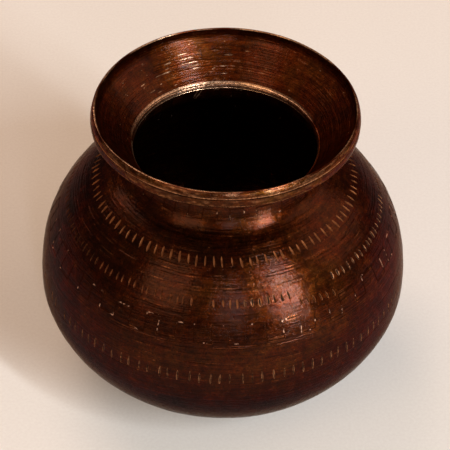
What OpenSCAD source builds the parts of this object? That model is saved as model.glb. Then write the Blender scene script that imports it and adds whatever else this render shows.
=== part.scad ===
// Copper water pot. A bowl and a shoulder are raised from sheet, a flared neck is set on top,
// and a rounded hoop is fitted round the mouth. Toothed edges lock the sheets together and
// brass spelter fills every joint. Millimetres, +Z up, origin at the middle of the base.

/* [Overall] */
// Height from the base to the lip
pot_h = 205; // [165:1:260]
// Width of the belly where it is widest
belly_d = 230; // [180:1:300]
// Height of the widest level above the base
belly_h = 76.5; // [60:0.5:95]
// Width of the flat that the pot stands on
base_d = 76; // [50:1:100]
// Thickness of the copper sheet
sheet_t = 1.2; // [0.8:0.1:1.8]

/* [Curves] */
// Fullness of the bowl, where 2 is an ellipse and less is leaner
bowl_fullness = 1.77; // [1.6:0.01:2.4]
// Fullness of the shoulder, where 2 is an ellipse and more is squarer
shoulder_fullness = 2.24; // [1.8:0.01:2.6]

/* [Neck] */
// Width inside the lip
mouth_d = 155; // [125:1:190]
// Width inside the throat, which is the narrowest place
throat_d = 111.6; // [90:0.2:122]
// Depth of the throat below the lip
throat_depth = 29; // [24:0.5:40]
// Height of the upright band under the lip
upright_h = 6.5; // [5:0.5:8]
// Outer radius of the bend between the upright band and the flare
flare_bend = 5; // [3:0.5:7]
// Radius of the cove between the throat and the shoulder
cove_r = 18; // [14:0.5:22]
// Angle through which the cove turns away from upright
cove_turn = 60; // [45:1:70]

/* [Hoop] */
// Height of the hoop round the mouth
hoop_h = 9; // [7:0.5:12]
// Thickness of the hoop at its crown
hoop_t = 1.9; // [1.6:0.1:3]
// How far the top of the hoop lies below the lip
hoop_drop = 0.7; // [0.3:0.1:1.5]
// Height of the crown above the lower edge of the hoop
crown_h = 2.7; // [2:0.1:4]
// Radius of the rounded face of the hoop
crown_round = 14; // [12:0.5:24]
// Least thickness of the hoop, where its rounded face runs out above the crown
hoop_edge_t = 0.3; // [0.2:0.1:1]
// Height of the scribed groove above the lower edge of the hoop
groove_h = 5.5; // [4.5:0.1:6]
// Depth of the scribed groove
groove_depth = 0.35; // [0.2:0.05:0.6]
// Direction of the lap where the ends of the hoop meet
lap_angle = 226; // [0:1:359]
// Slant of the lap from upright
lap_slant = 40; // [20:1:50]
// Height to which the spelter under the hoop stops short of its lower edge
fillet_recess = 1.2; // [0.6:0.1:2]

/* [Toothed seams] */
// Depth from the shoulder's top edge down to the middle of the belly seam
belly_seam_drop = 40.5; // [30:0.5:50]
// Height of the teeth in the belly seam
belly_tooth_h = 10.5; // [6:0.5:13]
// Width of each tooth in the belly seam
belly_tooth_w = 10; // [7:0.5:12]
// Number of teeth in the belly seam
belly_teeth = 32; // [20:1:36]
// Depth from the throat down to the middle of the neck seam
neck_seam_drop = 6.5; // [6:0.5:9]
// Height of the teeth in the neck seam
neck_tooth_h = 7; // [5:0.5:8]
// Width of each tooth in the neck seam
neck_tooth_w = 8; // [5:0.5:9]
// Number of teeth in the neck seam
neck_teeth = 22; // [12:1:24]
// Width of the spelter line between two sheets
joint_gap = 0.6; // [0.3:0.1:1]
// How far the spelter stands proud of the sheets
spelter_proud = 0.15; // [0:0.05:0.3]

/* [Hidden] */
$fn = 144;

curve_steps = 18;                            // segments in each long curve
bend_steps = 6;                              // segments in each short bend
copper = [0.36, 0.17, 0.09];
spelter = [0.62, 0.46, 0.22];

belly_r = belly_d / 2;
base_r = base_d / 2;
lip_r = mouth_d / 2 + sheet_t;               // outside of the sheet at the lip
throat_r = throat_d / 2 + sheet_t;           // outside of the sheet at the throat
throat_z = pot_h - throat_depth;
shoulder_top_r = throat_r + cove_r * (1 - cos(cove_turn));
shoulder_top_z = throat_z - cove_r * sin(cove_turn);
reach = belly_r + 10;                        // radius that clears every wall
lap_box = 2 * hoop_h;                        // size of a box that passes right through the hoop

// The bowl and the shoulder are superellipses about the widest level. Each full height is
// the one that brings its curve through the edge of the base, or through the shoulder's top.
function rise(r, fullness) = pow(1 - pow(r / belly_r, fullness), 1 / fullness);
function turn(r, fullness) = acos(pow(r / belly_r, fullness / 2));
function curve_point(a, height, fullness) =
    [belly_r * pow(cos(a), 2 / fullness), belly_h + height * pow(sin(a), 2 / fullness)];
bowl_depth = belly_h / rise(base_r, bowl_fullness);
shoulder_height = (shoulder_top_z - belly_h) / rise(shoulder_top_r, shoulder_fullness);
bowl_turn = turn(base_r, bowl_fullness);
shoulder_turn = turn(shoulder_top_r, shoulder_fullness);
bowl = [for (i = [curve_steps:-1:0])
    curve_point(bowl_turn * i / curve_steps, -bowl_depth, bowl_fullness)];
shoulder = [for (i = [1:curve_steps])
    curve_point(shoulder_turn * i / curve_steps, shoulder_height, shoulder_fullness)];

// The cove is hollow on the outside, so its centre lies outside the throat.
cove = [for (i = [bend_steps - 1:-1:0]) let (a = cove_turn * i / bend_steps)
    [throat_r + cove_r * (1 - cos(a)), throat_z - cove_r * sin(a)]];

// The flare is a cone from the throat that bends upright below the lip.
flare_corner_z = pot_h - upright_h;
flare = atan2(lip_r - throat_r, flare_corner_z - throat_z);
bend_z = flare_corner_z + flare_bend * tan(flare / 2);
bend = [for (i = [0:bend_steps]) let (a = flare * (i / bend_steps - 1))
    [lip_r - flare_bend * (1 - cos(a)), bend_z + flare_bend * sin(a)]];
function flare_point(z) = [throat_r + (z - throat_z) * tan(flare), z];

outside = concat([[0, 0]], bowl, shoulder, cove, bend, [[lip_r, pot_h]]);

// Each seam is [bottom, top, teeth, tooth width, a radius inside the wall]. The lower sheet
// has notches in it, and the upper sheet has teeth that reach down into them.
belly_seam = [shoulder_top_z - belly_seam_drop - belly_tooth_h / 2,
              shoulder_top_z - belly_seam_drop + belly_tooth_h / 2,
              belly_teeth, belly_tooth_w, shoulder_top_r];
neck_seam = [throat_z - neck_seam_drop - neck_tooth_h / 2,
             throat_z - neck_seam_drop + neck_tooth_h / 2,
             neck_teeth, neck_tooth_w, throat_r - 2 * sheet_t];

hoop_top = pot_h - hoop_drop;
hoop_low = hoop_top - hoop_h;
crown_z = hoop_low + crown_h;
hoop_r = lip_r + hoop_t;
groove_z = hoop_low + groove_h;
function hoop_face(z) = max(lip_r + hoop_edge_t,
    hoop_r - crown_round + sqrt(max(0, crown_round * crown_round - (z - crown_z) * (z - crown_z))));

// A copy of a path moved to its left by t, with every corner mitred.
function left(a, b) = [a.y - b.y, b.x - a.x] / norm(b - a);
function moved(path, t) = [for (i = [0:len(path) - 1]) let (
    last = len(path) - 1,
    before = left(path[max(i - 1, 0)], path[max(i, 1)]),
    after = left(path[min(i, last - 1)], path[min(i + 1, last)]))
    path[i] + t * (before + after) / (1 + before * after)];
function reversed(path) = [for (i = [len(path) - 1:-1:0]) path[i]];

// A wall of revolution whose outside follows a path.
module wall(path, t) {
    rotate_extrude() polygon(concat(path, reversed(moved(path, t))));
}

module band(low, high) {
    translate([0, 0, low]) cylinder(r = reach, h = high - low);
}

// Upright blocks that cross the wall at every tooth of a seam.
module blocks(seam, width, low, high) {
    for (i = [0:seam[2] - 1])
        rotate([0, 0, (i + 0.5) * 360 / seam[2]])
            translate([seam[4], -width / 2, low]) cube([reach - seam[4], width, high - low]);
}

// The space that the sheet below a seam may fill.
module below(seam) {
    difference() {
        band(-1, seam[1]);
        blocks(seam, seam[3] + 2 * joint_gap, seam[0], seam[1] + 1);
    }
}

// The space that the sheet above a seam may fill.
module above(seam) {
    difference() {
        band(seam[0] + joint_gap, pot_h + 1);
        difference() {
            band(seam[0], seam[1] + joint_gap);
            blocks(seam, seam[3], seam[0] - 1, seam[1] + 2 * joint_gap);
        }
    }
}

module vessel_wall() {
    wall(outside, sheet_t);
}

// The spelter in a toothed seam: what the two sheets leave of the wall between them.
module seam_fill(seam) {
    difference() {
        intersection() {
            wall(moved(outside, -spelter_proud), sheet_t + 2 * spelter_proud);
            band(seam[0], seam[1] + joint_gap);
        }
        below(seam);
        above(seam);
    }
}

module hoop_ring() {
    difference() {
        rotate_extrude() polygon(concat(
            [[lip_r, hoop_top], [lip_r, hoop_low]],
            [for (i = [0:curve_steps]) let (z = hoop_low + hoop_h * i / curve_steps) [hoop_face(z), z]]));
        rotate_extrude() polygon([
            [hoop_face(groove_z) - groove_depth, groove_z],
            [hoop_r + 1, groove_z - groove_depth - 1],
            [hoop_r + 1, groove_z + groove_depth + 1]]);
    }
}

// The slanted slot across the hoop where its two ends meet.
module lap_slot() {
    rotate([0, 0, lap_angle])
        translate([hoop_r, 0, hoop_low + hoop_h / 2])
            rotate([lap_slant, 0, 0])
                cube([lap_box, joint_gap, lap_box], center = true);
}

module lower_bowl() {
    color(copper)
        intersection() {
            vessel_wall();
            below(belly_seam);
        }
}

module shoulder_dome() {
    color(copper)
        intersection() {
            vessel_wall();
            above(belly_seam);
            below(neck_seam);
        }
}

module neck_funnel() {
    color(copper)
        intersection() {
            vessel_wall();
            above(neck_seam);
        }
}

module rim_hoop() {
    color(copper)
        difference() {
            hoop_ring();
            lap_slot();
        }
}

module belly_seam_braze() {
    color(spelter) seam_fill(belly_seam);
}

module neck_seam_braze() {
    color(spelter) seam_fill(neck_seam);
}

// Spelter drawn up into the wedge between the hoop and the flare.
module rim_braze() {
    color(spelter)
        rotate_extrude() polygon(concat(
            [[lip_r, hoop_low + fillet_recess], flare_point(hoop_low + fillet_recess / 2)], bend));
}

module hoop_lap_braze() {
    color(spelter)
        intersection() {
            hoop_ring();
            lap_slot();
        }
}

lower_bowl();
shoulder_dome();
neck_funnel();
rim_hoop();
belly_seam_braze();
neck_seam_braze();
rim_braze();
hoop_lap_braze();
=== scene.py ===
import math
import random

import bmesh
import bpy
from mathutils import Matrix, Vector, noise


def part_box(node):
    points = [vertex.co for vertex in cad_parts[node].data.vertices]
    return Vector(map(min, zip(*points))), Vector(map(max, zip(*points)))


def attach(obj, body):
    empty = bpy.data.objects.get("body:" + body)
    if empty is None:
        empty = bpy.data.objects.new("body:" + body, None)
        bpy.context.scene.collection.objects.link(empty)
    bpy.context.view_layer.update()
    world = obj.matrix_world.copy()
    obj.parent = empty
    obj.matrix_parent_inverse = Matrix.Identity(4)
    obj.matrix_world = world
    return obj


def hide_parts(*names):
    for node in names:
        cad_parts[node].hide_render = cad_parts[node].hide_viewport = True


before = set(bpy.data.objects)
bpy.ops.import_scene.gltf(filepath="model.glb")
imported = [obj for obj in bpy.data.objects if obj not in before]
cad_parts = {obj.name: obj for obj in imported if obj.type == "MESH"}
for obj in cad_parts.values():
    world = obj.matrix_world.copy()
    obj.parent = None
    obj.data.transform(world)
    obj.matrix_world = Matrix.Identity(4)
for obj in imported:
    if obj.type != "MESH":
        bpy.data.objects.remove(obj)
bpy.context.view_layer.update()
mm = 0.001

# The camera stands in front of the pot and looks down on it, turned slightly about its own axis.
camera = bpy.data.objects.new("camera", bpy.data.cameras.new("camera"))
bpy.context.scene.collection.objects.link(camera)
bpy.context.scene.camera = camera
camera.data.lens, camera.data.sensor_width = 144, 36
eye, aim, roll = Vector((0, -0.8375, 0.8683)), Vector((0.0008, 0, 0.1097)), math.radians(1.173)
camera.matrix_world = (
    Matrix.Translation(eye)
    @ (aim - eye).to_track_quat("-Z", "Y").to_matrix().to_4x4()
    @ Matrix.Rotation(roll, 4, "Z")
)


# ---- The bowl ----
# The lower half of the pot, raised from one copper sheet over stakes, planished, and notched
# along its upper edge for the shoulder's teeth. Long chisel nicks and scribed lines go round it.
sheet = 1.2 * mm
pot_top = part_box("neck_funnel")[1].z
belly_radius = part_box("lower_bowl")[1].x
belly_level = 76.5 * mm
foot_radius = 38 * mm
bowl_fullness, shoulder_fullness = 1.77, 2.24
lip_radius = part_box("neck_funnel")[1].x
throat_radius, throat_level = 57 * mm, pot_top - 29 * mm
cove_radius, cove_turn = 18 * mm, math.radians(60)
upright_level, flare_bend = pot_top - 6.5 * mm, 11 * mm
shoulder_edge = throat_radius + cove_radius * (1 - math.cos(cove_turn))
shoulder_level = throat_level - cove_radius * math.sin(cove_turn)
flare = math.atan2(lip_radius - throat_radius, upright_level - throat_level)
bend_level = upright_level + flare_bend * math.tan(flare / 2)


def half_height(rise, radius, fullness):
    """Full height of a superellipse that is `rise` above the belly at this radius."""
    return rise / (1 - (radius / belly_radius) ** fullness) ** (1 / fullness)


bowl_depth = half_height(belly_level, foot_radius, bowl_fullness)
dome_height = half_height(shoulder_level - belly_level, shoulder_edge, shoulder_fullness)


def outer_radius(z):
    """Radius of the outside of the copper at height z."""
    if z < belly_level:
        drop = (belly_level - z) / bowl_depth
        return belly_radius * (1 - drop**bowl_fullness) ** (1 / bowl_fullness)
    if z < shoulder_level:
        climb = (z - belly_level) / dome_height
        return belly_radius * (1 - climb**shoulder_fullness) ** (1 / shoulder_fullness)
    if z < throat_level:
        return throat_radius + cove_radius - math.sqrt(cove_radius**2 - (z - throat_level) ** 2)
    if z < bend_level - flare_bend * math.sin(flare):
        return throat_radius + (z - throat_level) * math.tan(flare)
    if z < bend_level:
        return lip_radius - flare_bend + math.sqrt(flare_bend**2 - (bend_level - z) ** 2)
    return lip_radius


def outward(z):
    """Outward normal of the wall at height z, as (radial, vertical)."""
    step = 0.2 * mm
    slope = (outer_radius(z + step) - outer_radius(z - step)) / (2 * step)
    return Vector((1, -slope)).normalized()


def levels(low, high, step, lines=()):
    """Heights of the rows of a wall, with five rows at each line: the line, its edges and beyond them."""
    count = round((high - low) / step)
    even = [low + (high - low) * i / count for i in range(count + 1)]
    apart = [z for z in even if all(abs(z - line) > 0.8 * mm for line in lines)]
    close = {round(line + side * mm, 7) for line in lines for side in (-0.6, -0.3, 0, 0.3, 0.6)}
    return sorted(apart + [z for z in close if low <= z <= high])


def inner_wall(low, high, step=3 * mm, rings=()):
    """The inside of the sheet from high down to low, one sheet's thickness from the outside.
    Each ring is (height, depth) of a groove, or of a bead where the depth is below zero."""
    margin, inset = 6 * mm, 0.01 * mm
    bottom, top = max(low - margin, inset), min(high + margin, pot_top - inset)
    rows = levels(bottom, top, step, [z for z, depth in rings])
    inside = []
    for z in rows:
        sunk = sum(depth for ring, depth in rings if abs(z - ring) < 0.01 * mm)
        inside.append(Vector((outer_radius(z), z)) - (sheet - sunk) * outward(z))
    inside = [p for p in inside if low < p.y < high]
    return [(p.x, p.y) for p in reversed(inside)]


def link(name, bm):
    """Writes a bmesh to a new object in the scene."""
    mesh = bpy.data.meshes.new(name)
    bm.to_mesh(mesh)
    bm.free()
    made = bpy.data.objects.new(name, mesh)
    bpy.context.scene.collection.objects.link(made)
    return made


def spun(name, section, columns, *materials):
    """A closed wall, made by spinning its section of (radius, height) points once round."""
    bm = bmesh.new()
    points = [bm.verts.new((r, 0, z)) for r, z in section]
    edges = [bm.edges.new(pair) for pair in zip(points, points[1:])]
    if section[0][0] > 0:
        edges.append(bm.edges.new((points[-1], points[0])))
    # An eighth of a turn, doubled three times, is much quicker than one long spin.
    bmesh.ops.spin(bm, geom=points + edges, cent=(0, 0, 0), axis=(0, 0, 1),
                   steps=columns // 8, angle=math.pi / 4)
    for turn in (math.pi / 4, math.pi / 2, math.pi):
        copy = bmesh.ops.duplicate(bm, geom=bm.verts[:] + bm.edges[:] + bm.faces[:])["geom"]
        bmesh.ops.rotate(bm, verts=[v for v in copy if isinstance(v, bmesh.types.BMVert)],
                         cent=(0, 0, 0), matrix=Matrix.Rotation(turn, 3, "Z"))
    bmesh.ops.remove_doubles(bm, verts=bm.verts, dist=0.001 * mm)
    bmesh.ops.recalc_face_normals(bm, faces=bm.faces)
    made = link(name, bm)
    for material in materials:
        made.data.materials.append(material)
    return made


def scribe(piece, line, depth, broken, seed, dotted=False):
    """Pushes the row of points at a scribed line into the sheet. The more broken the line is, the
    more its depth varies. A dotted line barely marks every other point."""
    around = {}
    for v in piece.data.vertices:
        if abs(v.co.z - line) < 0.002 * mm and v.co.xy.length > outer_radius(line) - 0.5 * sheet:
            around[math.atan2(v.co.y, v.co.x)] = v
    for i, angle in enumerate(sorted(around)):
        v = around[angle]
        place = Vector((4 * math.cos(angle), 4 * math.sin(angle), seed))
        press = 1 - broken + 2 * broken * noise.noise(place)
        if dotted and i % 2:
            press = 0.15
        push = outward(line) * depth * min(max(press, 0), 1)
        v.co -= Vector((push.x * math.cos(angle), push.x * math.sin(angle), push.y))


def carve(piece, tool, operation="DIFFERENCE"):
    """Cuts a tool's shape out of a piece, or keeps only what lies in it, and removes the tool.
    A cut face takes the piece's material whose place in the list is the tool's material index."""
    for material in piece.data.materials:
        tool.data.materials.append(material)
    work = piece.modifiers.new("carve", "BOOLEAN")
    work.operation, work.solver, work.object = operation, "MANIFOLD", tool
    cut = bpy.data.meshes.new_from_object(piece.evaluated_get(bpy.context.evaluated_depsgraph_get()))
    piece.modifiers.clear()
    piece.data = cut
    bpy.data.objects.remove(tool)


def offset(path, distance, girth):
    """A copy of a path of (distance round, height) points, moved to its left. The path closes on
    itself after one girth."""
    moved = []
    for i, point in enumerate(path):
        before = path[i - 1] if i > 0 else path[-1] - Vector((girth, 0))
        after = path[i + 1] if i < len(path) - 1 else path[0] + Vector((girth, 0))
        a, b = (point - before).normalized(), (after - point).normalized()
        a, b = Vector((-a.y, a.x)), Vector((-b.y, b.x))
        moved.append(point + distance * (a + b) / (1 + a.dot(b)))
    return moved


def collar(name, lower, upper, radius, near, far):
    """A closed ring from radius near to far, between two paths of (distance round at radius, height)."""
    def at_near(p):
        angle = p.x / radius
        return Vector((near * math.cos(angle), near * math.sin(angle), p.y))

    bm = bmesh.new()
    points = [bm.verts.new(at_near(p)) for p in lower]
    edges = [bm.edges.new((a, b)) for a, b in zip(points, points[1:] + points[:1])]
    bmesh.ops.extrude_edge_only(bm, edges=edges)
    bm.verts.ensure_lookup_table()
    for v, p in zip(bm.verts[len(lower):], upper):
        v.co = at_near(p)
    out = bmesh.ops.extrude_face_region(bm, geom=bm.faces[:])["geom"]
    for v in out:
        if isinstance(v, bmesh.types.BMVert):
            v.co.xy *= far / near
    bmesh.ops.recalc_face_normals(bm, faces=bm.faces)
    return link(name, bm)


def teeth(count, radius, low, high, width, loose, seed):
    """The line down the middle of a toothed seam, cut by eye, as (distance round, height) points."""
    draw = random.Random(seed)
    pitch = 2 * math.pi * radius / count
    tops = [high + draw.uniform(-loose, loose) for _ in range(count)]
    line = []
    for i in range(count):
        middle = (i + 0.5) * pitch + draw.uniform(-0.06, 0.06) * pitch
        half = width / 2 * draw.uniform(0.9, 1.08)
        lean, foot = draw.uniform(-loose, loose), low + draw.uniform(-loose, loose)
        line += [Vector((middle - half, tops[i])), Vector((middle - half + lean, foot)),
                 Vector((middle + half + lean, foot)), Vector((middle + half, tops[(i + 1) % count]))]
    return line


def level_like(path, z):
    """The points of a path, all brought to height z."""
    return [Vector((p.x, z)) for p in path]


def nicks(name, marks, slot=1, wide=1.0, deep=1.0, long=1.0):
    """Chisel points for a row of nicks, whose cut faces take the material in this slot. Each mark is
    (direction, height, length, width, depth, lean), and wide, deep and long multiply its sizes."""
    bm = bmesh.new()
    bmesh.ops.create_uvsphere(bm, u_segments=8, v_segments=6, radius=1)
    point = bpy.data.meshes.new("point")
    bm.to_mesh(point)
    bm.clear()
    for angle, z, length, width, depth, lean in marks:
        out = outward(z)
        radial = Vector((math.cos(angle), math.sin(angle), 0))
        normal = (radial * out.x + Vector((0, 0, out.y))).normalized()
        across = Vector((-math.sin(angle), math.cos(angle), 0))
        along = across.cross(normal)
        turn = Matrix.Rotation(lean, 3, normal)
        across, along = turn @ across, turn @ along
        sides = across * width * wide / 2, normal * depth * deep, along * length * long / 2
        where = Matrix(sides).transposed().to_4x4()
        where.translation = radial * outer_radius(z) + Vector((0, 0, z))
        point.transform(where)
        bm.from_mesh(point)
        point.transform(where.inverted())
    bmesh.ops.recalc_face_normals(bm, faces=bm.faces)
    for face in bm.faces:
        face.material_index = slot
    return link(name, bm)


def chisel_row(count, z, length, width, depth, lean, seed, gaps=(), wander=0.6 * mm):
    """Marks for a row struck by eye: uneven in place, length, depth and lean, with the stretches
    between the pairs of bearings in gaps left out. Bearings are degrees from the front."""
    draw = random.Random(seed)
    marks = []
    for i in range(count):
        bearing = (i + draw.uniform(-0.16, 0.16)) * 360 / count
        angle = math.radians(bearing - 90)
        drift = wander * noise.noise(Vector((1.5 * math.cos(angle), 1.5 * math.sin(angle), seed)))
        mark = (angle, z + drift + draw.uniform(-0.25, 0.25) * mm,
                length * draw.uniform(0.82, 1.15), width * draw.uniform(0.75, 1.2),
                depth * draw.uniform(0.6, 1.15), lean + draw.uniform(-0.07, 0.07))
        bearing = (bearing + 180) % 360 - 180
        if not any(a < bearing < b for a, b in gaps):
            marks.append(mark)
    return marks


def settle(piece):
    """Moves every point as planishing and use have left the sheet: shallow hammer dents, a pot
    that is slightly out of round, and lines that wander. It depends on place alone, so pieces
    that meet still meet. Places are in millimetres on a drum of 100 mm radius. The foot stays
    put, and nothing above the throat moves up or down."""
    blow, light_blow, bulge, wander, throat = 26, 9, 95, 70, 178
    for v in piece.data.vertices:
        angle = math.atan2(v.co.y, v.co.x)
        spot = Vector((math.cos(angle) * 100, math.sin(angle) * 100, v.co.z / mm))
        dent = 0.28 * noise.noise(spot / blow) + 0.10 * noise.noise(spot / light_blow + Vector((7, 0, 0)))
        oval = 0.55 * noise.noise(Vector((spot.x, spot.y, 0.4 * spot.z)) / bulge)
        loose = min(spot.z / 40, 1) * min(max((throat - spot.z) / 40, 0), 1)
        v.co.xy *= 1 + (dent + oval) / 100 * min(spot.z / 15, 1)
        v.co.z += 0.9 * mm * loose * noise.noise(Vector((spot.x, spot.y, 300)) / wander)


def shade(code):
    """An sRGB hex colour as linear values."""
    values = [int(code[i:i + 2], 16) / 255 for i in (1, 3, 5)]
    return [v / 12.92 if v <= 0.04045 else ((v + 0.055) / 1.055) ** 2.4 for v in values] + [1]


def add(tree, kind, out, inputs=(), stops=(), **settings):
    """Adds a shader node and returns its output of this name. An input takes a value or another
    node's output, and stops are a colour ramp's (place, colour) pairs."""
    node = tree.nodes.new("ShaderNode" + kind)
    for name, value in settings.items():
        setattr(node, name, value)
    for name, value in dict(inputs).items():
        if isinstance(value, bpy.types.NodeSocket):
            tree.links.new(value, node.inputs[name])
        else:
            node.inputs[name].default_value = value
    for i, (place, colour) in enumerate(stops):
        bar = node.color_ramp.elements
        stop = bar[i] if i < 2 else bar.new(place)
        stop.position, stop.color = place, colour
    return node.outputs[out]


def patinated_copper(name, dark, body, warm, wear_and_glint, satin=(0.18, 0.34)):
    """Hammered copper, browned by handling and age to a thin layer of oxides: a dark, satin
    brown with redder and more golden clouds, fine turned streaks, pits, and copper showing
    where it is rubbed. The same copper colour paints glints that stand in for highlights, and a
    point attribute says where the copper is rubbed or glints. The brown is darker towards the
    bottom, as painted shade, and brighter towards the +X side, as painted light. The grain and
    the streaks are drawn coarser than real ones, so that they show."""
    made = bpy.data.materials.new(name)
    made.use_nodes = True
    tree = made.node_tree
    surface = tree.nodes["Principled BSDF"]
    place = add(tree, "TexCoord", "Object")
    # Streaks are 25 times longer round the pot than they are high, and dashes 4 times.
    drawn = add(tree, "Mapping", "Vector", {"Vector": place, "Scale": (0.04, 0.04, 1)})
    dashed = add(tree, "Mapping", "Vector", {"Vector": place, "Scale": (0.25, 0.25, 1)})
    cloud, blotch, mottle, grain, streak, fine_streak = (
        add(tree, "TexNoise", "Fac",
            {"Vector": where, "Scale": 1 / size, "Detail": detail, "Roughness": rough})
        for where, size, detail, rough in (
            (place, 30 * mm, 5, 0.6), (place, 11 * mm, 5, 0.7), (place, 5 * mm, 4, 0.7),
            (place, 1.2 * mm, 3, 0.75), (drawn, 1.6 * mm, 4, 0.7), (drawn, 0.8 * mm, 2, 0.6)))
    pit = add(tree, "TexVoronoi", "Distance", {"Vector": place, "Scale": 1 / (2.4 * mm)})
    fleck = add(tree, "TexVoronoi", "Distance", {"Vector": dashed, "Scale": 1 / (1.5 * mm)})
    # How far the copper is rubbed, or painted bright as a glint.
    rubbed = add(tree, "Attribute", "Fac", attribute_name="wear_and_glint")

    tone = add(tree, "ValToRGB", "Color", {"Fac": cloud},
               [(0.3, shade(dark)), (0.5, shade(body)), (0.7, shade(warm))])
    redder_or_greener = add(tree, "ValToRGB", "Color", {"Fac": blotch},
                            [(0.4, (1, 0.8, 0.72, 1)), (0.6, (0.88, 1, 1, 1))])
    tone = add(tree, "MixRGB", "Color", {"Fac": 1, "Color1": tone, "Color2": redder_or_greener},
               blend_type="MULTIPLY")
    # Random mottle, streaks and grain vary the tone. It is also darker towards the bottom, as painted shade,
    # and brighter towards the right (+X) side, as painted light.
    axes = add(tree, "SeparateXYZ", "Z", {"Vector": place}).node.outputs
    for pattern, start, end, least, most in (
            (mottle, 0.3, 0.7, 0.62, 1.5), (streak, 0.3, 0.7, 0.76, 1.3),
            (fine_streak, 0.3, 0.7, 0.8, 1.25), (grain, 0.3, 0.7, 0.6, 1.6),
            (axes["Z"], 40 * mm, 130 * mm, 0.65, 1.05), (axes["X"], -20 * mm, 110 * mm, 1, 1.7)):
        amount = add(tree, "MapRange", "Result", {"Value": pattern, "From Min": start, "From Max": end,
                                                  "To Min": least, "To Max": most})
        tone = add(tree, "MixRGB", "Color", {"Fac": 1, "Color1": tone, "Color2": amount},
                   blend_type="MULTIPLY")
    # Bare copper shows in scratches along the turning, in fine flecks, and in the rubbed places. The same
    # colour paints the glints that stand in for highlights.
    for pattern, start, end, most, mask, mask_start, mask_end, mask_least in (
            (streak, 0.62, 0.72, 0.35, mottle, 0.5, 0.62, 0), (fleck, 0.14, 0.06, 0.8, mottle, 0.54, 0.66, 0),
            (rubbed, 0, 1, 1, grain, 0.36, 0.56, 0.2)):
        amount = add(tree, "MapRange", "Result", {"Value": pattern, "From Min": start, "From Max": end,
                                                  "To Max": most})
        share = add(tree, "MapRange", "Result", {"Value": mask, "From Min": mask_start,
                                                 "From Max": mask_end, "To Min": mask_least})
        share = add(tree, "Math", "Value", {0: amount, 1: share}, operation="MULTIPLY")
        tone = add(tree, "MixRGB", "Color", {"Fac": share, "Color1": tone, "Color2": shade(wear_and_glint)})
    tree.links.new(tone, surface.inputs["Base Color"])
    sheen = add(tree, "MapRange", "Result", {"Value": mottle, "From Min": 0.3, "From Max": 0.7,
                                             "To Min": satin[0], "To Max": satin[1]})
    polished = add(tree, "Math", "Value", {0: rubbed, 1: -0.12, 2: sheen}, operation="MULTIPLY_ADD")
    tree.links.new(polished, surface.inputs["Roughness"])
    surface.inputs["Metallic"].default_value = 0.92
    surface.inputs["Specular IOR Level"].default_value = 0
    surface.inputs["Specular Tint"].default_value = (0.42, 0.28, 0.18, 1)
    surface.inputs["Coat Weight"].default_value = 0.11
    surface.inputs["Coat Roughness"].default_value = 0.1

    pitted = add(tree, "MapRange", "Result", {"Value": pit, "From Min": 0, "From Max": 0.3})
    rough = add(tree, "Bump", "Normal", {"Height": pitted, "Distance": 0.05 * mm, "Strength": 0.6})
    for height, depth in ((streak, 0.26 * mm), (fine_streak, 0.11 * mm), (mottle, 0.25 * mm),
                          (grain, 0.07 * mm)):
        rough = add(tree, "Bump", "Normal",
                    {"Height": height, "Distance": depth, "Strength": 0.8, "Normal": rough})
    tree.links.new(rough, surface.inputs["Normal"])
    tree.links.new(rough, surface.inputs["Coat Normal"])
    return made


def mottled_metal(name, size, shaded, face, metallic, roughness, lump):
    """Plain metal in two mottled tones, each given as its (place in the mottle, colour), with fine
    lumps of this depth. It serves for the inside of a chisel cut and for spelter."""
    made = bpy.data.materials.new(name)
    made.use_nodes = True
    tree = made.node_tree
    surface = tree.nodes["Principled BSDF"]
    place = add(tree, "TexCoord", "Object")
    mottle = add(tree, "TexNoise", "Fac",
                 {"Vector": place, "Scale": 1 / size, "Detail": 4, "Roughness": 0.68})
    tone = add(tree, "ValToRGB", "Color", {"Fac": mottle},
               [(stop, shade(colour)) for stop, colour in (shaded, face)])
    tree.links.new(tone, surface.inputs["Base Color"])
    surface.inputs["Metallic"].default_value = metallic
    surface.inputs["Roughness"].default_value = roughness
    surface.inputs["Specular IOR Level"].default_value = 0.2
    surface.inputs["Specular Tint"].default_value = (0.4, 0.33, 0.28, 1)
    grit = add(tree, "TexNoise", "Fac", {"Vector": place, "Scale": 1 / (0.8 * mm)})
    lumps = add(tree, "Bump", "Normal", {"Height": grit, "Distance": lump})
    tree.links.new(lumps, surface.inputs["Normal"])
    return made


def store_wear_and_glints(piece, *amounts):
    """Stores how far each point is rubbed or painted bright as a highlight, from 0 to 1: the most that any of
    the amounts says.
    """
    wear_and_glint = piece.data.attributes.new("wear_and_glint", "FLOAT", "POINT")
    for v, value in zip(piece.data.vertices, wear_and_glint.data):
        value.value = min(max(0, *(amount(v.co) for amount in amounts)), 1)


def patchy(co, size, bias, seed=0.0):
    """Patches of a real size, about 1 inside and below 0 outside."""
    return 4 * (noise.noise(Vector((co.x, co.y, co.z + seed)) / size) + bias)


def near_lines(lines, size, bias):
    """The edges of scribed lines, rubbed in dashes of about this size."""
    def amount(co):
        for line in lines:
            if 0.2 * mm < co.z - line < 0.4 * mm and co.xy.length > outer_radius(co.z) - 0.3 * sheet:
                return min(0.25 * patchy(co, size, bias, line), 0.4)
        return 0

    return amount


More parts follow.
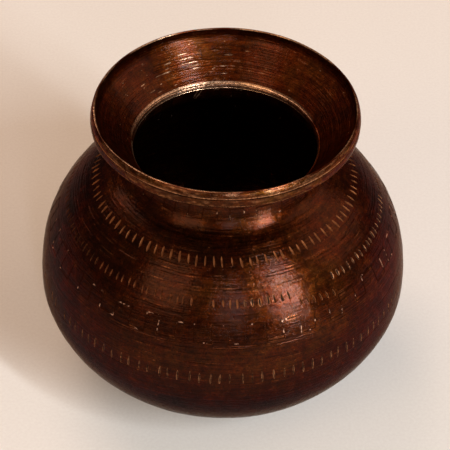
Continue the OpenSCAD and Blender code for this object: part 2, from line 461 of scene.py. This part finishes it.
def near_seam(line, radius, size, bias):
    """The sheet on both sides of a toothed seam, rubbed in patches of about this size. A tooth has
    four points of the line, and its upright edges are rubbed less than its tips."""
    pitch, reach = 4 * 2 * math.pi * radius / len(line), 0.9 * mm

    def amount(co):
        point = Vector((math.atan2(co.y, co.x) % (2 * math.pi) * radius, co.z))
        first = 4 * int(point.x / pitch)
        nearest = 1.0
        for i in range(first - 1, first + 5):
            a, b = line[i % len(line)], line[(i + 1) % len(line)]
            if abs(a.x - point.x) > pitch or abs(b.x - point.x) > pitch:
                continue
            share = min(max((point - a).dot(b - a) / (b - a).length_squared, 0), 1)
            upright = 0.5 * mm * (abs(b.y - a.y) > abs(b.x - a.x))
            nearest = min(nearest, (point - a - share * (b - a)).length + upright)
        if nearest > reach or co.xy.length < outer_radius(co.z) - 0.3 * sheet:
            return 0
        return min(patchy(co, size, bias, 5), 1) * (1 - nearest / reach)

    return amount


def ready(piece, node):
    """Settles a finished mesh, smooths its shading, hangs it under the root body and hides the CAD node it
    stands for.
    """
    settle(piece)
    piece.data.polygons.foreach_set("use_smooth", [True] * len(piece.data.polygons))
    piece.data.set_sharp_from_angle(angle=math.radians(32))
    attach(piece, "root")
    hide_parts(node)


copper = patinated_copper("browned copper sheet", "#250a01", "#2d0f02", "#371704", "#a05a34")
# A chisel cut was laid bare later than the sheet round it, so it is paler and tanned. Its
# other tones are painted light and shade: a darker copy on the shaded side, bare copper with
# painted highlight at the edges, and near black at the bottom as painted shade.
cut_lump = 0.05 * mm
light_cut = mottled_metal("tanned copper in the nicks", 5 * mm, (0.36, "#4f2812"), (0.62, "#7c4828"),
                          0.6, 0.5, cut_lump)
shaded_nick_copper = mottled_metal("copper in the nicks, darkened as painted shade", 5 * mm, (0.38, "#2c1106"), (0.66, "#6c3a1e"),
                         0.6, 0.5, cut_lump)
highlit_nick_edge = mottled_metal("bare copper at the edges of the nicks", 2.5 * mm, (0.42, "#381a0c"),
                         (0.6, "#966342"), 0.6, 0.5, cut_lump)
nick_shade = mottled_metal("painted shade in the nicks", 4 * mm, (0.36, "#100602"), (0.6, "#241006"),
                         0.2, 0.6, cut_lump)

gap = 0.6 * mm
belly_seam_low, belly_seam_high = (corner.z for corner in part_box("belly_seam_braze"))
belly_seam_radius = outer_radius((belly_seam_low + belly_seam_high) / 2)
belly_girth, belly_reach = 2 * math.pi * belly_seam_radius, (85 * mm, 125 * mm)
belly_line = teeth(32, belly_seam_radius, belly_seam_low + gap / 2, belly_seam_high - gap / 2,
                   width=10 * mm, loose=0.9 * mm, seed=11)

# Each scribed line is its height and depth in millimetres, and how broken it is.
bowl_scribing = ((112.8, 0.22, 0.75), (111.5, 0.18, 0.85), (101.5, 0.18, 0.6), (86.6, 0.18, 0.7))
bowl_lines = [z * mm for z, depth, broken in bowl_scribing]
bowl_top = belly_seam_high + 2 * mm
bowl_section = [(0, 0)] + [(outer_radius(z), z) for z in levels(0, bowl_top, 1.9 * mm, bowl_lines)]
bowl_section += [(outer_radius(bowl_top) - sheet, bowl_top)] + inner_wall(sheet, bowl_top - mm)
bowl_section += [(0, sheet)]
bowl = spun("raised_bowl", bowl_section, 600, copper, highlit_nick_edge, nick_shade)
for seed, (z, depth, broken) in enumerate(bowl_scribing, 1):
    scribe(bowl, z * mm, depth * mm, broken, seed)
carve(bowl, collar("above_seam", offset(belly_line, -gap / 2, belly_girth),
                   level_like(belly_line, bowl_top + 3 * mm), belly_seam_radius, *belly_reach))
bowl_marks = chisel_row(114, 90.6 * mm, length=8.4 * mm, width=1.15 * mm, depth=0.2 * mm, lean=0.0, seed=3)
# The bowl's cut faces take the bare copper with painted highlight.
carve(bowl, nicks("chisel", bowl_marks))
# A second, narrower and deeper cut puts painted shade, near black, at the bottom of each nick.
carve(bowl, nicks("chisel", bowl_marks, slot=2, wide=0.55, deep=2.6, long=0.88))
store_wear_and_glints(bowl, near_lines(bowl_lines, 8 * mm, -0.05), near_seam(belly_line, belly_seam_radius, 8 * mm, -0.19))
ready(bowl, "lower_bowl")


# ---- The shoulder ----
# The upper belly and the hollow under the neck, raised from a second sheet. Teeth along its
# lower edge reach into the bowl's notches. It carries two rows of nicks and pairs of scribed lines.
neck_seam_low, neck_seam_high = (corner.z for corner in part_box("neck_seam_braze"))
neck_seam_radius = outer_radius((neck_seam_low + neck_seam_high) / 2)
neck_girth, neck_reach = 2 * math.pi * neck_seam_radius, (45 * mm, 80 * mm)
neck_line = teeth(22, neck_seam_radius, neck_seam_low + gap / 2, neck_seam_high - gap / 2,
                  width=8 * mm, loose=0.6 * mm, seed=12)

# Each scribed line is its height and depth in millimetres, how broken it is, and if it is dotted.
shoulder_scribing = ((140.4, 0.25, 0.3, True), (141.9, 0.25, 0.5, True),
                     (145.7, 0.2, 0.5, False), (147.0, 0.2, 0.6, False))
shoulder_lines = [z * mm for z, depth, broken, dotted in shoulder_scribing]
shoulder_low, shoulder_high = belly_seam_low - 2 * mm, neck_seam_high + 1.2 * mm
shoulder_rows = levels(shoulder_low, shoulder_high, 1.2 * mm, shoulder_lines)
shoulder_section = [(outer_radius(z), z) for z in shoulder_rows]
shoulder_section += [(outer_radius(shoulder_high) - sheet, shoulder_high)]
shoulder_section += inner_wall(shoulder_low + mm, shoulder_high - mm, 2.4 * mm)
shoulder_section += [(outer_radius(shoulder_low) - sheet, shoulder_low)]
shoulder = spun("raised_shoulder", shoulder_section, 720, copper, light_cut, shaded_nick_copper, nick_shade, highlit_nick_edge)
for seed, (z, depth, broken, dotted) in enumerate(shoulder_scribing, 5):
    scribe(shoulder, z * mm, depth * mm, broken, seed, dotted)
carve(shoulder, collar("below_seam", level_like(belly_line, shoulder_low - 3 * mm),
                       offset(belly_line, gap / 2, belly_girth), belly_seam_radius, *belly_reach))
carve(shoulder, collar("above_seam", offset(neck_line, -gap / 2, neck_girth),
                       level_like(neck_line, shoulder_high + 3 * mm), neck_seam_radius, *neck_reach))
upper_marks = chisel_row(96, 152.2 * mm, length=6.6 * mm, width=1.45 * mm, depth=0.35 * mm,
                         lean=0.12, seed=1, wander=0.8 * mm)
lower_marks = chisel_row(136, 135.5 * mm, length=5.4 * mm, width=1.25 * mm, depth=0.3 * mm,
                         lean=0.05, seed=2, gaps=[(-10, -3), (24, 42)])
# A closer run of marks slopes down across the wider gap.
close_marks = [(math.radians(b - 90), (131.4 - (b - 27) * 0.27) * mm, 5 * mm, 1.4 * mm, 0.35 * mm, 0.2)
               for b in (27.5, 30, 32.4, 35, 37.5, 40.4)]
carve(shoulder, nicks("chisel", upper_marks))
# The cuts of the lower row are darker at the left, as painted shade, tanned in the middle, and paler at the
# right, as painted highlight.
left_marks, plain_marks, right_marks = [], [], []
for mark in lower_marks:
    bearing = (math.degrees(mark[0]) + 270) % 360 - 180
    if bearing < -6 or bearing > 174:
        left_marks.append(mark)
    elif bearing < 7:
        plain_marks.append(mark)
    else:
        right_marks.append(mark)
carve(shoulder, nicks("chisel", left_marks, slot=2))
carve(shoulder, nicks("chisel", plain_marks + close_marks))
carve(shoulder, nicks("chisel", right_marks, slot=4, wide=1.4))
# Painted shade, near black, goes at the bottoms of the marks near the left limb, of the close run and of the
# right marks.
limb_marks = [mark for mark in left_marks if math.cos(mark[0]) < -0.75]
carve(shoulder, nicks("chisel", limb_marks + close_marks, slot=3, wide=0.55, deep=2.2, long=0.88))
carve(shoulder, nicks("chisel", right_marks, slot=3, wide=0.85, deep=2.4, long=0.9))
store_wear_and_glints(shoulder, near_lines(shoulder_lines, 6 * mm, -0.05),
     near_seam(belly_line, belly_seam_radius, 8 * mm, -0.19),
     near_seam(neck_line, neck_seam_radius, 5 * mm, -0.25))
ready(shoulder, "shoulder_dome")


# ---- The belly seam ----
# Brass spelter that has run between the teeth of the bowl and the shoulder. It was filed
# nearly flush and has browned with the copper, so it shows as a broken, brighter line.
spelter_lump = 0.08 * mm
browned_spelter = mottled_metal("browned brass spelter", 6 * mm, (0.58, "#2a0f04"), (0.62, "#c0917a"),
                                0.9, 0.34, spelter_lump)


def spelter_ribbon(name, material, line, girth, radius, low, high, reach):
    """The part of a slightly thicker wall that lies between the two edges of a toothed seam."""
    low, high = low - 2 * mm, high + 2 * mm
    proud, half = 0.1 * mm, gap / 2
    section = [(outer_radius(z) + proud, z) for z in levels(low, high, 1.5 * mm)]
    section += [(outer_radius(z) - sheet - proud, z) for z in reversed(levels(low, high, 3 * mm))]
    ribbon = spun(name, section, 480, material)
    between = collar("between", offset(line, -half, girth), offset(line, half, girth), radius, *reach)
    carve(ribbon, between, "INTERSECT")
    return ribbon


belly_seam = spelter_ribbon("belly_seam_spelter", browned_spelter, belly_line, belly_girth,
                            belly_seam_radius, belly_seam_low, belly_seam_high, belly_reach)
ready(belly_seam, "belly_seam_braze")


# ---- The neck ----
# A flared funnel of sheet with its lower edge toothed into the shoulder just below the throat,
# and its upper edge turned upright inside the hoop. The lip is rubbed back to bare copper.
neck_low = neck_seam_low - 1.2 * mm
turned_rings = [(z * mm, depth * mm) for z, depth in (
    (179.6, 0.04), (181.4, -0.07), (183.1, 0.06), (184.8, -0.08),
    (186.2, 0.05), (187.7, -0.07), (189.8, 0.05), (192, -0.04))]
throat_beads = [(throat_level - 0.8 * mm, -0.2 * mm), (throat_level + 0.7 * mm, -0.3 * mm)]
ease, ease_drop, lip_drop = 0.25 * mm, 0.05 * mm, 0.4 * mm
neck_section = [(outer_radius(z), z) for z in levels(neck_low, pot_top - lip_drop, 1.0 * mm)]
neck_section += [(lip_radius - ease, pot_top - ease_drop), (lip_radius - sheet / 2, pot_top),
                 (lip_radius - sheet + ease, pot_top - ease_drop),
                 (lip_radius - sheet, pot_top - lip_drop)]
neck_section += inner_wall(neck_low + 0.5 * mm, pot_top - 0.8 * mm, 1.0 * mm, turned_rings + throat_beads)
neck_section += [(outer_radius(neck_low) - sheet, neck_low)]
# Inside the flare the copper is duller. Its turned ridges, the throat beads and the ticks below them take its
# pale rubbed colour at the back only, as painted highlights.
flare_copper = patinated_copper("browned copper inside the flare", "#2a0c01", "#361202", "#421b05",
                                "#e0ac86", satin=(0.27, 0.4))
neck = spun("flared_neck", neck_section, 600, copper, flare_copper)
for face in neck.data.polygons:
    face.material_index = face.center.xy.length < outer_radius(min(face.center.z, pot_top)) - 0.3 * sheet
carve(neck, collar("below_seam", level_like(neck_line, neck_low - 3 * mm),
                   offset(neck_line, gap / 2, neck_girth), neck_seam_radius, *neck_reach))


def neck_wear_and_glints(co):
    """The lip is rubbed. The two beads at the throat, a few slanted ticks below them and the
    turned rings are painted bright at the back only, where the light catches them: painted
    highlights. Directions are degrees round from +X, so the back is at 90."""
    along = Vector((co.x / 2.5, co.y / 2.5, co.z))
    lip_band, bead_width, ring_rise = 0.9 * mm, 0.4 * mm, 0.83 * mm
    if co.z > pot_top - lip_band:
        return min((co.z - pot_top + lip_band) / (0.6 * mm), 1) * (0.3 * patchy(along, 7 * mm, 0.0) + 0.35)
    if co.xy.length > outer_radius(co.z) - 0.3 * sheet:
        return 0
    direction = math.degrees(math.atan2(co.y, co.x))
    # Painted highlights: thin slanted ticks at the back, below the beads.
    if co.z < throat_level - 1.2 * mm:
        slant = 0.5 * (throat_level - co.z) / mm
        ticks = (107.6, 105.2, 96.4, 94.4, 82, 79.4)
        return 0.9 * any(abs(direction - tick - slant) < 0.4 for tick in ticks)
    # Painted highlights on the two beads, fading away from the back.
    if co.z < throat_level + 2.4 * mm:
        bead = min(abs(co.z - throat_level + 0.8 * mm), abs(co.z - throat_level - 1.7 * mm))
        return min(1.8 - bead / bead_width, 1) * min(1.9 - abs(direction - 100) / 42, 1)
    # Painted highlights in dashes on the turned rings, round the back-left only.
    # A ring's inside points are higher than the ring, because the sheet is measured square to the wall.
    near = min(abs(co.z - ring - ring_rise) for ring, depth in turned_rings)
    return min(patchy(along, 3 * mm, -0.03 - abs(direction - 112) / 60), 0.7) * (near < 0.15 * mm)


store_wear_and_glints(neck, neck_wear_and_glints)
ready(neck, "neck_funnel")


# ---- The neck seam ----
# Brass spelter in the toothed joint between the shoulder and the neck. It has browned more than
# the belly's seam, and shows through in only a few bright spots.
dull_spelter = mottled_metal("dull brass spelter", 6 * mm, (0.63, "#2a0f04"), (0.67, "#b08468"),
                             0.9, 0.34, spelter_lump)
neck_seam = spelter_ribbon("neck_seam_spelter", dull_spelter, neck_line, neck_girth,
                           neck_seam_radius, neck_seam_low, neck_seam_high, neck_reach)
ready(neck_seam, "neck_seam_braze")


# ---- The hoop ----
# A rounded copper strip bent round the outside of the mouth and brazed on. One groove is
# scribed round it, and its ends meet in a slanted lap.
hoop_low, hoop_high = (corner.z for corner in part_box("rim_hoop"))
hoop_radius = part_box("rim_hoop")[1].x
crown_level, crown_round = hoop_low + 2.7 * mm, 14 * mm
groove_level, groove_depth = hoop_low + 5.5 * mm, 0.5 * mm
hoop_section = []
for z in levels(hoop_low, hoop_high, 0.6 * mm, (groove_level,)):
    face = hoop_radius - crown_round + math.sqrt(crown_round**2 - (z - crown_level) ** 2)
    edge = min(z - hoop_low, hoop_high - z)
    eased = 0.3 * mm * max(0, 1 - edge / (0.5 * mm)) ** 2
    sunk = groove_depth if abs(z - groove_level) < 0.01 * mm else 0
    hoop_section.append((face - eased - sunk, z))
hoop_section += [(lip_radius, hoop_high), (lip_radius, hoop_low)]
# Hands touch the hoop most, so its brown is the thinnest and its rubbed copper the yellowest. That copper
# also paints highlights along its edges.
hoop_copper = patinated_copper("browned copper hoop", "#2c0f02", "#371804", "#412508", "#b9805a")
hoop = spun("mouth_hoop", hoop_section, 600, hoop_copper)
lap_angle, lap_slant, lap_block = math.radians(226), math.radians(40), 18 * mm


def lap_slot():
    """The slanted slot where the two ends of the hoop meet."""
    bm = bmesh.new()
    middle = (hoop_radius, 0, (hoop_low + hoop_high) / 2)
    where = (Matrix.Rotation(lap_angle, 4, "Z") @ Matrix.Translation(middle)
             @ Matrix.Rotation(lap_slant, 4, "X") @ Matrix.Diagonal((lap_block, gap, lap_block, 1)))
    bmesh.ops.create_cube(bm, size=1, matrix=where)
    return link("slot", bm)


carve(hoop, lap_slot())


def hoop_wear_and_glints(co):
    """The top of the hoop is rubbed in patches. The upper edge of its groove and its lower edge are rubbed,
    and also painted bright all round as highlights.
    """
    along = Vector((co.x / 3, co.y / 3, co.z))
    top = min((co.z - groove_level) / (3 * mm), 1) * (0.25 * patchy(along, 1.6 * mm, 0.0) + 0.06)
    edge = 0.8 + 0.3 * patchy(co, 9 * mm, 0.0)
    at_edge = 0.2 * mm < co.z - groove_level < 0.7 * mm or co.z < hoop_low + 0.7 * mm
    return max(min(top, 0.3), edge * at_edge)


store_wear_and_glints(hoop, hoop_wear_and_glints)
ready(hoop, "rim_hoop")


# ---- The spelter under the hoop and in its lap ----
# Brass that heat drew into the wedge between the hoop and the flare, where it holds the hoop on,
# and into the slanted lap, where it joins the hoop's ends.
fillet_low, fillet_foot = hoop_low + 1.2 * mm, hoop_low + 0.6 * mm
bend_rows = [bend_level - flare_bend * math.sin(flare) * (1 - i / 8) for i in range(9)]
fillet_section = [(lip_radius, fillet_low), (outer_radius(fillet_foot), fillet_foot)]
fillet_section += [(outer_radius(z), z) for z in bend_rows if z > fillet_low]
fillet = spun("hoop_fillet_spelter", fillet_section, 600, browned_spelter)
ready(fillet, "rim_braze")
lap = spun("hoop_lap_spelter", hoop_section, 600, browned_spelter)
carve(lap, lap_slot(), "INTERSECT")
ready(lap, "hoop_lap_braze")


# ---- The floor and the light ----
# A plain pale sweep of matt paper. A tall, narrow soft light stands at the right front, and
# wider, weaker ones stand round the rest of the room.
bm = bmesh.new()
bmesh.ops.create_grid(bm, x_segments=1, y_segments=1, size=3)
floor = link("floor", bm)
paper = bpy.data.materials.new("pale paper")
paper.use_nodes = True
tree = paper.node_tree
place = add(tree, "TexCoord", "Object")
fibre = add(tree, "TexNoise", "Fac", {"Vector": place, "Scale": 1 / (2 * mm)})
tone = add(tree, "ValToRGB", "Color", {"Fac": fibre}, [(0.3, shade("#e4d6cc")), (0.7, shade("#e9dcd2"))])
tree.links.new(tone, tree.nodes["Principled BSDF"].inputs["Base Color"])
tree.nodes["Principled BSDF"].inputs["Roughness"].default_value = 0.8
floor.data.materials.append(paper)


def soft_light(name, bearing, elevation, distance, width, height, watts, colour):
    """A rectangular soft light that faces the pot. Its bearing is degrees to the right of the
    front, and its distance and sides are metres."""
    light = bpy.data.lights.new(name, "AREA")
    light.shape, light.size, light.size_y = "RECTANGLE", width, height
    light.energy, light.color = watts, shade(colour)[:3]
    lamp = bpy.data.objects.new(name, light)
    bpy.context.scene.collection.objects.link(lamp)
    a, e = math.radians(bearing - 90), math.radians(elevation)
    back = Vector((math.cos(a) * math.cos(e), math.sin(a) * math.cos(e), math.sin(e)))
    middle = Vector((0, 0, 0.1))
    facing = back.to_track_quat("Z", "Y").to_matrix().to_4x4()
    lamp.matrix_world = Matrix.Translation(middle + back * distance) @ facing
    lamp.visible_camera = False


soft_light("key", 42, 30, 2.6, 0.15, 1.7, 82, "#e6f6ff")
soft_light("left", -38, 35, 2.2, 1.0, 1.2, 11, "#ffe6c0")
soft_light("back", -140, 55, 2.2, 1.4, 1.4, 20, "#ffe8d6")
soft_light("side", 100, 35, 2.0, 1.5, 1.2, 7, "#ffe8d6")
soft_light("front", 8, 30, 2.2, 0.1, 0.9, 7, "#e9f1ff")
room = bpy.data.worlds.new("room")
room.use_nodes = True
room.node_tree.nodes["Background"].inputs["Color"].default_value = shade("#ffe4cc")
room.node_tree.nodes["Background"].inputs["Strength"].default_value = 0.2
bpy.context.scene.world = room
bpy.context.scene.view_settings.view_transform = "Standard"
